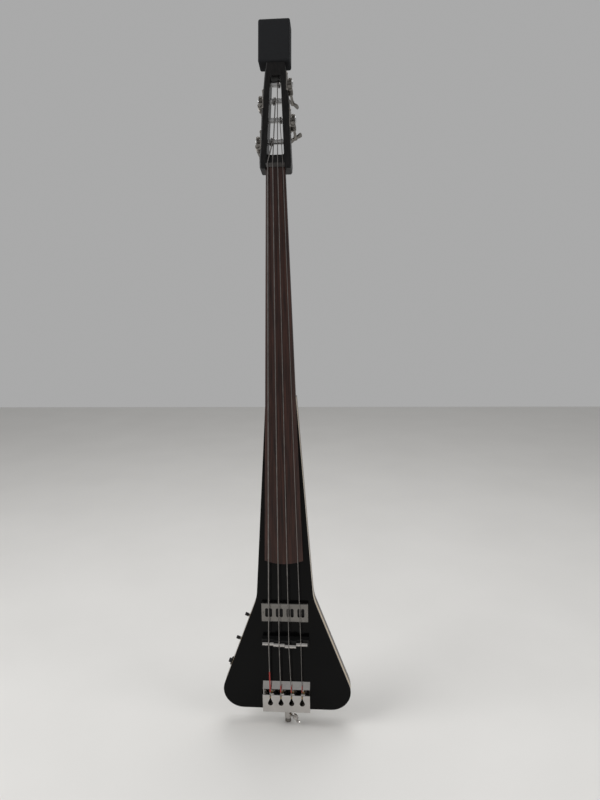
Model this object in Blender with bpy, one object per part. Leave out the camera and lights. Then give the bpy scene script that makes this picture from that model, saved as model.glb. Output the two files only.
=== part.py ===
# Electric upright bass: a slim laminated body with a wedge-shaped lower bout,
# a fretless neck, an open pegbox with worm-geared tuning machines, a pickup,
# a bridge with four sliding saddles, a folded tailpiece and a sliding endpin.
#
# Metres. +Z runs up the instrument, the front faces -Y and +X is the viewer's
# right. The origin is the middle of the endpin's foot, on the floor.

import math

import bmesh
import bpy
from mathutils import Matrix, Vector

# Fit
SEAT = 0.0003                # gap between two pieces that touch
RUNNING = 0.0004             # gap round a shaft that turns or slides

# Body
BODY_BOTTOM_Z = 0.048
WAIST_Z = 0.331
SHOULDER_Z = 0.800           # where the neck leaves the body
WAIST_HALF = 0.0655
BASE_HALF = 0.172            # where a side line would reach the bottom
CORNER_RADIUS = 0.047
WAIST_RADIUS = 0.110
FRONT_Y = -0.020
TOP_THICK = 0.005            # black top
CORE_THICK = 0.010           # pale core, seen from the side
BACK_THICK = 0.025           # dark back
BACK_ROUND = 0.008

# Fingerboard and nut
STRING_LENGTH = 1.044
BRIDGE_Z = 0.228
BOARD_END_Z = 0.424
BOARD_HALF_NUT = 0.0196
BOARD_HALF_END = 0.0436
BOARD_EDGE = 0.0057          # thickness along its edges
BOARD_CROWN_NUT = 0.0030
BOARD_CROWN_END = 0.0115
BOARD_END_BOW = 0.003
NUT_DEPTH = 0.008
NUT_LIFT = 0.0009

# Neck
NECK_DEPTH_HEEL = 0.036
NECK_DEPTH_NUT = 0.024
NECK_SIDE = 0.006
TENON_HALF = 0.018
TENON_DEPTH = 0.018
TENON_END_Z = 0.560

# Pegbox, measured along its own front face, which leans back
PEG_TILT = math.radians(12.0)
PEG_FACE_Y = -0.030
PEG_STATIONS = (
    # height up the face, half width, depth
    (-0.0030, 0.0300, 0.0330),
    (0.0000, 0.0316, 0.0350),
    (0.0120, 0.0322, 0.0365),
    (0.0440, 0.0306, 0.0370),
    (0.0800, 0.0291, 0.0370),
    (0.1290, 0.0277, 0.0365),
    (0.1650, 0.0243, 0.0360),
    (0.1950, 0.0217, 0.0330),
)
PEG_ABOVE_PLATE = 0.017      # wood left above the top tuner plate
PEG_END_HALF = 0.0188
PEG_END_DEPTH = 0.0260
PEG_EDGE = 0.0025            # softening of the long edges
SLOT_BOTTOM = 0.0275
SLOT_ABOVE_ROLLER = 0.010
SLOT_HALF_BOTTOM = 0.0173
SLOT_HALF_TOP = 0.0105
SLOT_CORNER = 0.004
TONGUE_HALF = 0.0140
TONGUE_DEPTH = 0.0160
TONGUE_LENGTH = 0.050

# Head block, the bumper that leans on a wall
BLOCK_WIDTH = 0.065
BLOCK_DEPTH = 0.038
BLOCK_HEIGHT = 0.089
BLOCK_X = -0.003
BLOCK_FRONT = -0.002
BLOCK_ROUND = 0.004

# Tuning machines: height of each roller up the pegbox, and its side
ROLLER_HEIGHT = {"e": 0.0585, "a": 0.142, "d": 0.177, "g": 0.1025}
ROLLER_SIDE = {"e": -1, "a": -1, "d": 1, "g": 1}
ROLLER_DEPTH = 0.017
ROLLER_RADIUS = 0.0055
STUB_RADIUS = 0.0035
STUB_LENGTH = 0.008
PLATE_THICK = 0.002
PLATE_ABOVE = 0.020
PLATE_BELOW = 0.022
PLATE_HALF_DEPTH = 0.0155
TEETH = 20
MODULE = 0.001
TOOTH_THICK = 0.00115
THREAD_THICK = 0.00110
TOOTH_SLOPE = math.radians(18.0)
GEAR_WIDTH = 0.006
GEAR_BORE = 0.0040
WORM_PITCH_RADIUS = 0.004
WORM_TIP = 0.0050
WORM_ROOT = 0.0029
WORM_TURNS = 4
WORM_STEPS = 12
LUG_WIDTH = 0.005
LUG_HALF = 0.0046
SHAFT_RADIUS = 0.0025
KEY_REACH = 0.043            # worm centre to the start of the ears
EAR_LENGTH = 0.016
EAR_HALF = 0.0150
EAR_THICK = 0.0032
EAR_ANGLE = {"e": 62, "a": 74, "d": 36, "g": -32}
PLATE_SCREW_RADIUS = 0.0028

# Strings: thickness, place on the nut, place on the bridge, and on the roller
GAUGE = {"e": 0.0027, "a": 0.0022, "d": 0.0018, "g": 0.0014}
NUT_X = {"e": -0.0152, "a": -0.0050, "d": 0.0051, "g": 0.0152}
BRIDGE_X = {"e": -0.0370, "a": -0.0125, "d": 0.0098, "g": 0.0370}
ROLLER_X = {"e": -0.0060, "a": -0.0010, "d": 0.0030, "g": 0.0080}
WIND_TURNS = 2
WIND_GAP = 0.0005
LOOP_POINTS = 24
STRING_NAMES = ("e", "a", "d", "g")

# Bridge
BRIDGE_HALF = 0.054
BRIDGE_LENGTH = 0.018
BRIDGE_OUTER = 0.0150
BRIDGE_INNER = 0.0195
SADDLE_WIDTH = 0.0256
SADDLE_LENGTH = 0.0085
SADDLE_HEIGHT = 0.0070
SADDLE_KEY = 0.0040
SADDLE_KEY_DEPTH = 0.0030
SADDLE_STEP = {"e": 0.0000, "a": 0.0004, "d": -0.0026, "g": -0.0002}
SADDLE_X = {"e": -0.0390, "a": -0.0130, "d": 0.0130, "g": 0.0390}

# Pickup
PICKUP_Z = 0.3008
PICKUP_HALF = 0.0540
PICKUP_LENGTH = 0.0456
PICKUP_HEIGHT = 0.0095
PICKUP_WALL = 0.0010
PICKUP_PITCH = 0.0248
WINDOW_PITCH = 0.0088
WINDOW_WIDTH = 0.0074
WINDOW_LENGTH = 0.0215
POLE_RADIUS = 0.0024
CAVITY_HALF = 0.049
CAVITY_LENGTH = 0.038
CAVITY_DEPTH = 0.018
CAVITY_CORNER = 0.004

# Tailpiece
TAIL_HALF = 0.0555
TAIL_TOP_Z = 0.121
TAIL_RAMP_Z = 0.1045
TAIL_CREST_Z = 0.0945
TAIL_BOTTOM_Z = 0.0495
TAIL_RAMP_RISE = 0.0100
TAIL_RISE = 0.0160
TAIL_SHEET = 0.0020
KEYHOLE_PITCH = 0.0250
KEYHOLE_RADIUS = 0.0062
KEYHOLE_DROP = 0.0215        # crest to the middle of the wide end
KEYHOLE_SLOT = 0.0017
BALL_RADIUS = 0.0035
BALL_WIDTH = 0.0070

# Endpin
COLLAR_RADIUS = 0.0080
COLLAR_BOTTOM_Z = 0.0100
FLANGE_RADIUS = 0.0135
FLANGE_THICK = 0.0030
SOCKET_RADIUS = 0.0090
SOCKET_DEPTH = 0.034
ROD_RADIUS = 0.0050
ROD_TOP_Z = 0.275
TIP_RADIUS = 0.0075
TIP_HEIGHT = 0.0092
WING_Z = 0.0205
WING_AIM = math.radians(-38.0)
WING_OUT = 0.0265
WING_SPAN = 0.0150
WING_THICK = 0.0026
WING_SCREW_RADIUS = 0.0026

# Controls on the left side wall
WALL = 0.009
CONTROL_Y = 0.004
VOLUME_Z = 0.274
TONE_Z = 0.2135
JACK_Z = 0.1535
POT_RADIUS = 0.0080
POT_THICK = 0.0080
BUSH_RADIUS = 0.0035
KNOB_RADIUS = 0.0040
KNOB_LENGTH = 0.0085
KNOB_SHAFT = 0.0020
JACK_RADIUS = 0.0100
JACK_BARREL = 0.0050
JACK_BORE = 0.0032
JACK_REACH = 0.0085
BAY_LOW_Z = 0.128
BAY_HIGH_Z = 0.292
BAY_HIGH_WIDTH = 0.029
BAY_LOW_WIDTH = 0.040
BAY_FLOOR_Y = -0.0140
COVER_THICK = 0.002
COVER_LIP = 0.005

NUT_Z = BRIDGE_Z + STRING_LENGTH
SLOT_TOP = ROLLER_HEIGHT["d"] + SLOT_ABOVE_ROLLER
PEG_END = ROLLER_HEIGHT["d"] + PLATE_ABOVE + PEG_ABOVE_PLATE
BACK_Y = FRONT_Y + TOP_THICK + CORE_THICK + BACK_THICK
BOARD_Y = FRONT_Y - SEAT
WORM_LEAD = math.pi * MODULE
GEAR_PITCH_RADIUS = TEETH * MODULE / 2
MESH_DISTANCE = GEAR_PITCH_RADIUS + WORM_PITCH_RADIUS
WORM_OUT = PLATE_THICK + WORM_TIP + 0.0006
KEYHOLE_X = {name: (index - 1.5) * KEYHOLE_PITCH for index, name in enumerate(STRING_NAMES)}


# Scene helpers

def clear_scene():
    for old in list(bpy.data.objects):
        bpy.data.objects.remove(old, do_unlink=True)
    for mesh in list(bpy.data.meshes):
        bpy.data.meshes.remove(mesh)


def finish(name, colour, roughness, metallic=0.0):
    """A plain Principled material in the part's own colour."""
    found = bpy.data.materials.get(name)
    if found:
        return found
    made = bpy.data.materials.new(name)
    made.use_nodes = True
    shader = made.node_tree.nodes["Principled BSDF"]
    shader.inputs["Base Color"].default_value = (*colour, 1.0)
    shader.inputs["Roughness"].default_value = roughness
    shader.inputs["Metallic"].default_value = metallic
    made.diffuse_color = (*colour, 1.0)
    return made


def black_lacquer():
    return finish("black_lacquer", (0.010, 0.010, 0.010), 0.18)


def black_wood():
    return finish("black_wood", (0.014, 0.013, 0.013), 0.35)


def pale_maple():
    return finish("pale_maple", (0.58, 0.48, 0.33), 0.40)


def dark_back():
    return finish("dark_back", (0.055, 0.032, 0.018), 0.35)


def rosewood():
    return finish("rosewood", (0.060, 0.024, 0.018), 0.50)


def ebony():
    return finish("ebony", (0.020, 0.017, 0.016), 0.40)


def foam_rubber():
    return finish("foam_rubber", (0.014, 0.014, 0.015), 0.85)


def chrome():
    return finish("chrome", (0.62, 0.61, 0.60), 0.12, 1.0)


def aged_nickel():
    return finish("aged_nickel", (0.34, 0.32, 0.30), 0.38, 1.0)


def steel():
    return finish("steel", (0.45, 0.45, 0.46), 0.30, 1.0)


def brass():
    return finish("brass", (0.60, 0.44, 0.20), 0.35, 1.0)


def string_metal():
    return finish("string_metal", (0.30, 0.29, 0.28), 0.35, 1.0)


def black_plastic():
    return finish("black_plastic", (0.016, 0.016, 0.017), 0.45)


def add(name, bm, material, frame=None, place=None, smooth=30.0):
    """Turn a bmesh into a named object, in the given parent's frame."""
    bmesh.ops.remove_doubles(bm, verts=bm.verts, dist=0.000001)
    bmesh.ops.recalc_face_normals(bm, faces=bm.faces)
    mesh = bpy.data.meshes.new(name)
    bm.to_mesh(mesh)
    bm.free()
    mesh.materials.append(material)
    if smooth:
        mesh.shade_smooth()
        mesh.set_sharp_from_angle(angle=math.radians(smooth))
    made = bpy.data.objects.new(name, mesh)
    bpy.context.scene.collection.objects.link(made)
    if frame:
        made.parent = frame
    if place:
        made.matrix_local = place
    return made


def guide(made):
    """Mark an object as a shape that only cuts or joins."""
    made.hide_render = True
    made.display_type = 'WIRE'
    return made


def tool(name, bm, frame=None, place=None):
    return guide(add(name, bm, black_plastic(), frame, place, smooth=0))


def combine(target, other, operation):
    step = target.modifiers.new(other.name, 'BOOLEAN')
    step.object = other
    step.operation = operation
    step.solver = 'EXACT'
    return target


def cut(target, *cutters):
    for cutter in cutters:
        combine(target, cutter, 'DIFFERENCE')


def join(target, *others):
    for other in others:
        combine(target, other, 'UNION')


def gather(shapes):
    """Put several shapes into one bmesh."""
    together = bmesh.new()
    for shape in shapes:
        piece = bpy.data.meshes.new("piece")
        shape.to_mesh(piece)
        shape.free()
        together.from_mesh(piece)
        bpy.data.meshes.remove(piece)
    return together


def empty(name, matrix, parent=None):
    made = bpy.data.objects.new(name, None)
    bpy.context.scene.collection.objects.link(made)
    if parent:
        made.parent = parent
    made.matrix_local = matrix
    return made


def turn(degrees, axis):
    return Matrix.Rotation(math.radians(degrees), 4, axis)


def move(x, y, z):
    return Matrix.Translation((x, y, z))


# Shape helpers

def box(low, high):
    bm = bmesh.new()
    middle = [(a + b) / 2 for a, b in zip(low, high)]
    span = [abs(b - a) for a, b in zip(low, high)]
    bmesh.ops.create_cube(bm, size=1.0)
    bmesh.ops.scale(bm, vec=span, verts=bm.verts)
    bmesh.ops.translate(bm, vec=middle, verts=bm.verts)
    return bm


def soft_box(low, high, radius, steps=3):
    bm = box(low, high)
    bmesh.ops.bevel(bm, geom=bm.edges[:], offset=radius, segments=steps, profile=0.5,
                    affect='EDGES', material=-1)
    return bm


def slab(outline, start, end, into=None):
    """Extrude an outline given as (x, z) pairs from y = start to y = end."""
    bm = into or bmesh.new()
    ring = [bm.verts.new((x, start, z)) for x, z in outline]
    face = bm.faces.new(ring)
    grown = bmesh.ops.extrude_face_region(bm, geom=[face])
    moved = [item for item in grown["geom"] if isinstance(item, bmesh.types.BMVert)]
    bmesh.ops.translate(bm, vec=(0, end - start, 0), verts=moved)
    return bm


def loft(rings):
    """Skin a list of closed rings that have equal counts, and close both ends."""
    bm = bmesh.new()
    loops = [[bm.verts.new(point) for point in ring] for ring in rings]
    count = len(rings[0])
    for lower, upper in zip(loops, loops[1:]):
        for i in range(count):
            j = (i + 1) % count
            bm.faces.new((lower[i], lower[j], upper[j], upper[i]))
    bm.faces.new(loops[0])
    bm.faces.new(loops[-1])
    return bm


def turned(profile, steps):
    """Turn (radius, height) pairs about Z. A radius of 0 closes the end."""
    bm = bmesh.new()
    verts = [bm.verts.new((radius, 0, height)) for radius, height in profile]
    for first, second in zip(verts, verts[1:]):
        bm.edges.new((first, second))
    if profile[0][0] > 0:
        bm.edges.new((verts[-1], verts[0]))
    bmesh.ops.spin(bm, geom=bm.verts[:] + bm.edges[:], cent=(0, 0, 0), axis=(0, 0, 1),
                   angle=math.tau, steps=steps, use_merge=True)
    bmesh.ops.remove_doubles(bm, verts=bm.verts, dist=0.000001)
    return bm


def rod(radius, low, high, steps=20):
    return turned([(0, low), (radius, low), (radius, high), (0, high)], steps)


def round_corner(before, corner, after, radius, steps):
    """Points of an arc that meets both straight sides of a corner."""
    toward_before = (before - corner).normalized()
    toward_after = (after - corner).normalized()
    half = toward_before.angle(toward_after) / 2
    centre = corner + (toward_before + toward_after).normalized() * (radius / math.sin(half))
    start = corner + toward_before * (radius / math.tan(half)) - centre
    end = corner + toward_after * (radius / math.tan(half)) - centre
    sweep = start.angle_signed(end)
    points = []
    for step in range(steps + 1):
        angle = -sweep * step / steps
        turned_x = start.x * math.cos(angle) - start.y * math.sin(angle)
        turned_y = start.x * math.sin(angle) + start.y * math.cos(angle)
        points.append((centre.x + turned_x, centre.y + turned_y))
    return points


def rounded(points, radius, steps):
    """Round every corner of a closed outline alike."""
    corners = [Vector(point) for point in points]
    outline = []
    for i, corner in enumerate(corners):
        after = corners[(i + 1) % len(corners)]
        outline += round_corner(corners[i - 1], corner, after, radius, steps)
    return outline


def rectangle(x, half_x, z, half_z):
    return [(x - half_x, z - half_z), (x + half_x, z - half_z),
            (x + half_x, z + half_z), (x - half_x, z + half_z)]


def blend(low, high, share):
    return low + (high - low) * share


# Sizes that follow from others

def side_half(z, inset=0.0):
    """Half width of the lower bout's straight side, drawn in by an inset."""
    slope = (BASE_HALF - WAIST_HALF) / (WAIST_Z - BODY_BOTTOM_Z)
    return WAIST_HALF + slope * (WAIST_Z - z) - inset * math.sqrt(1 + slope * slope)


def wall_lean():
    return math.atan2(BASE_HALF - WAIST_HALF, WAIST_Z - BODY_BOTTOM_Z)


def body_outline(inset=0.0):
    """The body from the front, as (x, z) pairs, drawn in by an inset."""
    top = Vector((board_half(SHOULDER_Z) - inset, SHOULDER_Z))
    waist = Vector((side_half(WAIST_Z, inset), WAIST_Z))
    bottom = BODY_BOTTOM_Z + inset
    corner = Vector((side_half(bottom, inset), bottom))
    middle = Vector((0, bottom))
    right = [tuple(top)]
    right += round_corner(top, waist, corner, WAIST_RADIUS, 4)
    right += round_corner(waist, corner, middle, CORNER_RADIUS - inset, 10)
    left = [(-x, z) for x, z in reversed(right)]
    return right + left


def board_share(z):
    return (NUT_Z - z) / (NUT_Z - BOARD_END_Z)


def board_half(z):
    return blend(BOARD_HALF_NUT, BOARD_HALF_END, board_share(z))


def board_surface(x, z):
    """Front of the crowned fingerboard at a place."""
    crown = blend(BOARD_CROWN_NUT, BOARD_CROWN_END, board_share(z))
    off_centre = min(1.0, abs(x) / board_half(z))
    return BOARD_Y - BOARD_EDGE - crown * (1 - off_centre * off_centre)


def peg_half(height):
    """Half width of the pegbox at a height up its face."""
    if height >= PEG_STATIONS[-1][0]:
        last = PEG_STATIONS[-1]
        share = (height - last[0]) / (PEG_END - last[0])
        return blend(last[1], PEG_END_HALF, min(1.0, share))
    for low, high in zip(PEG_STATIONS, PEG_STATIONS[1:]):
        if height <= high[0]:
            return blend(low[1], high[1], (height - low[0]) / (high[0] - low[0]))
    return PEG_END_HALF


def slot_half(height):
    share = (height - SLOT_BOTTOM) / (SLOT_TOP - SLOT_BOTTOM)
    return blend(SLOT_HALF_BOTTOM, SLOT_HALF_TOP, share)


def plate_seat(name):
    """Distance from the middle to the flat that a tuner plate sits on."""
    return peg_half(ROLLER_HEIGHT[name] + PLATE_ABOVE) - SEAT


def saddle_top(name):
    rise = BRIDGE_OUTER if name in ("e", "g") else BRIDGE_INNER
    return FRONT_Y - SEAT - rise - SEAT - SADDLE_HEIGHT


def saddle_z(name):
    return BRIDGE_Z + SADDLE_STEP[name]


def nut_string_y(name):
    return board_surface(NUT_X[name], NUT_Z) - NUT_LIFT - GAUGE[name] / 2


def peg_matrix():
    return move(0, PEG_FACE_Y, NUT_Z) @ Matrix.Rotation(-PEG_TILT, 4, 'X')


# Body

def make_body():
    y = FRONT_Y
    top = add("body_top", slab(body_outline(), y, y + TOP_THICK - SEAT), black_lacquer())
    y += TOP_THICK
    core = add("body_core", slab(body_outline(), y, y + CORE_THICK - SEAT), pale_maple())
    y += CORE_THICK
    bm = slab(body_outline(), y, y + BACK_THICK)
    rim = [edge for edge in bm.edges if all(v.co.y > y + BACK_THICK / 2 for v in edge.verts)]
    bmesh.ops.bevel(bm, geom=rim, offset=BACK_ROUND, segments=4, profile=0.5,
                    affect='EDGES', material=-1)
    back = add("body_back", bm, dark_back())

    fit = TENON_HALF + SEAT
    pocket_y = FRONT_Y + TENON_DEPTH + SEAT
    pocket = tool("neck_pocket_cut", box((-fit, FRONT_Y - 0.01, TENON_END_Z - SEAT),
                                         (fit, pocket_y, SHOULDER_Z + 0.01)))
    half_length = CAVITY_LENGTH / 2
    cavity = rounded(rectangle(0, CAVITY_HALF, PICKUP_Z, half_length), CAVITY_CORNER, 2)
    pickup = tool("pickup_cavity_cut", slab(cavity, FRONT_Y - 0.01, FRONT_Y + CAVITY_DEPTH))
    bay = tool("control_bay_cut", slab(bay_outline(), BAY_FLOOR_Y, BACK_Y + 0.01))
    lid = slab(bay_outline(COVER_LIP), BACK_Y - COVER_THICK - SEAT, BACK_Y + 0.01)
    rebate = tool("cover_rebate_cut", lid)
    bore = tool("endpin_bore_cut", rod(ROD_RADIUS + 0.001, 0.02, ROD_TOP_Z + 0.003, 16))
    socket_top = BODY_BOTTOM_Z + SOCKET_DEPTH + SEAT
    socket = tool("socket_cut", rod(SOCKET_RADIUS + SEAT, 0.02, socket_top, 20))
    sides = []
    for name, z, radius in control_holes():
        hole = rod(radius, -0.03, 0.03, 16)
        sides.append(tool(name + "_hole_cut", hole, place=wall_matrix(z)))
    cut(top, pocket, pickup)
    cut(core, pocket, pickup, bay, bore, socket, *sides)
    cut(back, pocket, pickup, bay, rebate, bore, socket, *sides)


def bay_outline(grow=0.0):
    """The control bay from the back, beside the left wall."""
    low = BAY_LOW_Z - grow
    high = BAY_HIGH_Z + grow
    wall = WALL - grow
    wider = 2.2 * grow
    corners = [(-side_half(high, wall), high),
               (-side_half(high, wall) + BAY_HIGH_WIDTH + wider, high),
               (-side_half(low, wall) + BAY_LOW_WIDTH + wider, low),
               (-side_half(low, wall), low)]
    return rounded(corners, 0.005 + grow, 3)


def wall_matrix(z):
    """Frame on the left side wall: its Z points straight out of the wall."""
    return move(-side_half(z), CONTROL_Y, z) @ Matrix.Rotation(wall_lean() - math.pi / 2, 4, 'Y')


def control_holes():
    return (("volume", VOLUME_Z, BUSH_RADIUS + SEAT), ("tone", TONE_Z, BUSH_RADIUS + SEAT),
            ("jack", JACK_Z, JACK_BARREL + SEAT))


# Neck, fingerboard and nut

def neck_ring(z):
    half = board_half(z)
    depth = blend(NECK_DEPTH_NUT, NECK_DEPTH_HEEL, (NUT_Z - z) / (NUT_Z - SHOULDER_Z))
    points = [(half, FRONT_Y, z)]
    for step in range(13):
        angle = math.pi * step / 12
        x = half * math.cos(angle)
        y = FRONT_Y + NECK_SIDE + (depth - NECK_SIDE) * math.sin(angle)
        points.append((x, y, z))
    return points + [(-half, FRONT_Y, z)]


def peg_ring(height, half, depth):
    """A section of the pegbox with softened corners."""
    e = PEG_EDGE
    soft = e * (1 - math.sqrt(0.5))
    flat = [(half - e, 0), (half - soft, soft), (half, e), (half, depth - e),
            (half - soft, depth - soft), (half - e, depth), (e - half, depth),
            (soft - half, depth - soft), (-half, depth - e), (-half, e),
            (soft - half, soft), (e - half, 0)]
    return [(x, y, height) for x, y in flat]


def make_neck(peg_frame):
    """Neck, pegbox and tongue are one piece of wood, slotted and bored."""
    low = SHOULDER_Z + SEAT
    rings = [neck_ring(blend(low, NUT_Z + 0.006, share)) for share in (0, 0.35, 0.7, 1.0)]
    neck = add("neck", loft(rings), black_wood())
    tenon = tool("tenon", box((-TENON_HALF, FRONT_Y, TENON_END_Z),
                              (TENON_HALF, FRONT_Y + TENON_DEPTH, SHOULDER_Z + 0.012)))
    rings = [peg_ring(*station) for station in PEG_STATIONS]
    rings.append(peg_ring(PEG_END, PEG_END_HALF, PEG_END_DEPTH))
    pegbox = tool("pegbox", loft(rings), peg_frame)
    tongue_y = (PEG_END_DEPTH - TONGUE_DEPTH) / 2
    shape = soft_box((-TONGUE_HALF, tongue_y, PEG_END - 0.010),
                     (TONGUE_HALF, tongue_y + TONGUE_DEPTH, PEG_END + TONGUE_LENGTH), 0.001, 1)
    tongue = tool("tongue", shape, peg_frame)
    join(neck, tenon, pegbox, tongue)

    outline = [(-SLOT_HALF_BOTTOM, SLOT_BOTTOM), (SLOT_HALF_BOTTOM, SLOT_BOTTOM),
               (SLOT_HALF_TOP, SLOT_TOP), (-SLOT_HALF_TOP, SLOT_TOP)]
    slot = tool("slot_cut", slab(rounded(outline, SLOT_CORNER, 3), -0.02, 0.07), peg_frame)
    recess_half = board_half(NUT_Z - 0.012) + SEAT
    recess_top = NUT_Z + NUT_DEPTH + SEAT
    recess = tool("nut_recess_cut", box((-recess_half, PEG_FACE_Y - 0.02, NUT_Z - 0.03),
                                        (recess_half, FRONT_Y, recess_top)))
    start = NUT_DEPTH - 0.001
    ramp_half = SLOT_HALF_BOTTOM
    ramp = loft([[(x, -0.02, start), (x, 0.0010, start), (x, 0.0075, SLOT_BOTTOM + 0.004),
                  (x, -0.02, SLOT_BOTTOM + 0.004)] for x in (-ramp_half, ramp_half)])
    cut(neck, slot, recess, tool("string_ramp_cut", ramp, peg_frame))
    for name in STRING_NAMES:
        cut_tuner_seat(neck, name, peg_frame)


def cut_tuner_seat(neck, name, peg_frame):
    """A flat rebate for the plate, a bore for the roller and a blind far hole."""
    side = ROLLER_SIDE[name]
    height = ROLLER_HEIGHT[name]
    seat = plate_seat(name)
    flat = box((side * seat, -0.02, height - PLATE_BELOW - SEAT),
               (side * (seat + 0.03), 0.07, height + PLATE_ABOVE + SEAT))
    rebate = tool(name + "_rebate_cut", flat, peg_frame)
    across = move(0, ROLLER_DEPTH, height) @ turn(90 * side, 'Y')
    bore = tool(name + "_bore_cut", rod(ROLLER_RADIUS + RUNNING, 0, 0.06, 20), peg_frame, across)
    far = slot_half(height) + STUB_LENGTH + SEAT
    stub = tool(name + "_stub_cut", rod(STUB_RADIUS + RUNNING, -far, 0, 16), peg_frame, across)
    cut(neck, rebate, bore, stub)


def board_ring(z, bow=0.0, lift=0.0, bottom=BOARD_Y):
    half = board_half(z)
    points = [(half, bottom, z)]
    for step in range(11):
        x = half * math.cos(math.pi * step / 10)
        drop = bow * (1 - (x / half) ** 2)
        points.append((x, board_surface(x, z) - lift, z - drop))
    return points + [(-half, bottom, z)]


def make_fingerboard():
    rings = [board_ring(BOARD_END_Z + BOARD_END_BOW, BOARD_END_BOW)]
    rings += [board_ring(blend(BOARD_END_Z, NUT_Z, share)) for share in (0.33, 0.67)]
    rings.append(board_ring(NUT_Z - SEAT))
    add("fingerboard", loft(rings), rosewood())


def make_nut():
    low = board_ring(NUT_Z, lift=NUT_LIFT + GAUGE["d"] / 2)
    high = [(x, y, NUT_Z + NUT_DEPTH) for x, y, z in low]
    nut = add("nut", loft([low, high]), ebony())
    for name in STRING_NAMES:
        notch = rod(GAUGE[name] / 2 + SEAT, -0.002, NUT_DEPTH + 0.002, 10)
        place = move(NUT_X[name], nut_string_y(name), NUT_Z)
        cut(nut, tool(name + "_notch_cut", notch, place=place))


def make_head_block(peg_frame):
    """The block stands on the pegbox's end and leans back with it."""
    low = PEG_END + SEAT
    half = BLOCK_WIDTH / 2
    bm = soft_box((BLOCK_X - half, BLOCK_FRONT, low),
                  (BLOCK_X + half, BLOCK_FRONT + BLOCK_DEPTH, low + BLOCK_HEIGHT), BLOCK_ROUND)
    block = add("head_block", bm, foam_rubber(), peg_frame)
    y = (PEG_END_DEPTH - TONGUE_DEPTH) / 2
    socket = box((-TONGUE_HALF - SEAT, y - SEAT, low - 0.01),
                 (TONGUE_HALF + SEAT, y + TONGUE_DEPTH + SEAT, low + TONGUE_LENGTH))
    cut(block, tool("tongue_socket_cut", socket, peg_frame))


# Tuning machines

def make_tuner(name, peg_frame):
    """One machine: plate with two lugs, roller, gear, and worm with its ears."""
    side = ROLLER_SIDE[name]
    base = empty(name + "_tuner_frame", tuner_matrix(name), peg_frame)
    make_plate(name, side, base)
    make_roller(name, side, base)
    make_gear(name, side, base)
    make_key(name, side, base)


def tuner_matrix(name):
    """Frame on the roller's axis, in the pegbox's own directions."""
    return move(0, ROLLER_DEPTH, ROLLER_HEIGHT[name])


def make_plate(name, side, base):
    low = side * (plate_seat(name) + SEAT)
    outline = rounded([(-PLATE_HALF_DEPTH, -PLATE_BELOW), (PLATE_HALF_DEPTH, -PLATE_BELOW),
                       (PLATE_HALF_DEPTH, PLATE_ABOVE), (-PLATE_HALF_DEPTH, PLATE_ABOVE)],
                      0.004, 3)
    face_out = turn(90, 'Z')
    plate = add(name + "_tuner_plate", slab(outline, 0, -side * PLATE_THICK), aged_nickel(),
                base, move(low, 0, 0) @ face_out)
    lift = WORM_OUT
    for end in (-1, 1):
        middle = end * lug_offset()
        outline = [(-LUG_HALF, 0.0005)]
        for step in range(9):
            angle = math.pi * (1 - step / 8)
            outline.append((LUG_HALF * math.cos(angle), lift + LUG_HALF * math.sin(angle)))
        outline.append((LUG_HALF, 0.0005))
        lug = slab(outline, middle - LUG_WIDTH / 2, middle + LUG_WIDTH / 2)
        place = move(low, 0, -MESH_DISTANCE) @ turn(90 * side, 'Y')
        join(plate, tool(f"{name}_lug_{end}", lug, base, place))
    join(plate, tool(name + "_plate_screws", plate_screw_heads(name, side), base))
    bore = rod(ROLLER_RADIUS + RUNNING, -0.01, 0.06, 20)
    cut(plate, tool(name + "_plate_bore_cut", bore, base, turn(90 * side, 'Y')))
    shaft = rod(SHAFT_RADIUS + RUNNING, -0.03, 0.03, 12)
    cut(plate, tool(name + "_lug_bore_cut", shaft, base, key_matrix(name, side)))


def lug_offset():
    """Middle of each lug, clear of the thread between them."""
    return WORM_TURNS * WORM_LEAD / 2 + THREAD_THICK + RUNNING * 2 + LUG_WIDTH / 2


def key_matrix(name, side):
    """Worm axis: it runs to the back, below the gear."""
    out = side * (plate_seat(name) + SEAT + WORM_OUT)
    return move(out, 0, -MESH_DISTANCE) @ turn(-90, 'X')


def make_roller(name, side, base):
    seat = plate_seat(name) + SEAT
    inner = -slot_half(ROLLER_HEIGHT[name]) + SEAT
    gear_low = seat + WORM_OUT - GEAR_WIDTH / 2
    gear_high = gear_low + GEAR_WIDTH
    profile = [
        (0, inner - STUB_LENGTH + SEAT),
        (STUB_RADIUS, inner - STUB_LENGTH + SEAT),
        (STUB_RADIUS, inner),
        (ROLLER_RADIUS, inner),
        (ROLLER_RADIUS, seat + PLATE_THICK + SEAT),
        (GEAR_BORE - SEAT, seat + PLATE_THICK + SEAT),
        (GEAR_BORE - SEAT, gear_high + SEAT),
        (0.0062, gear_high + SEAT),
        (0.0058, gear_high + 0.0014),
        (0.0035, gear_high + 0.0022),
        (0, gear_high + 0.0024),
    ]
    add(name + "_roller", turned(profile, 16), steel(), base, turn(90 * side, 'Y'))


def tooth_ring(x, twist):
    """One side of the gear: slanted flanks, round a pitch circle."""
    root = MESH_DISTANCE - WORM_TIP - 0.0003
    tip = MESH_DISTANCE - WORM_ROOT - 0.0002
    pitch = GEAR_PITCH_RADIUS
    points = []
    for tooth in range(TEETH):
        middle = math.tau * tooth / TEETH + twist - math.pi / 2
        for radius, sign in ((root, -1), (tip, -1), (tip, 1), (root, 1)):
            half = TOOTH_THICK / 2 - (radius - pitch) * math.tan(TOOTH_SLOPE)
            angle = middle + sign * half / radius
            points.append((x, radius * math.cos(angle), radius * math.sin(angle)))
    return points


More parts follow.
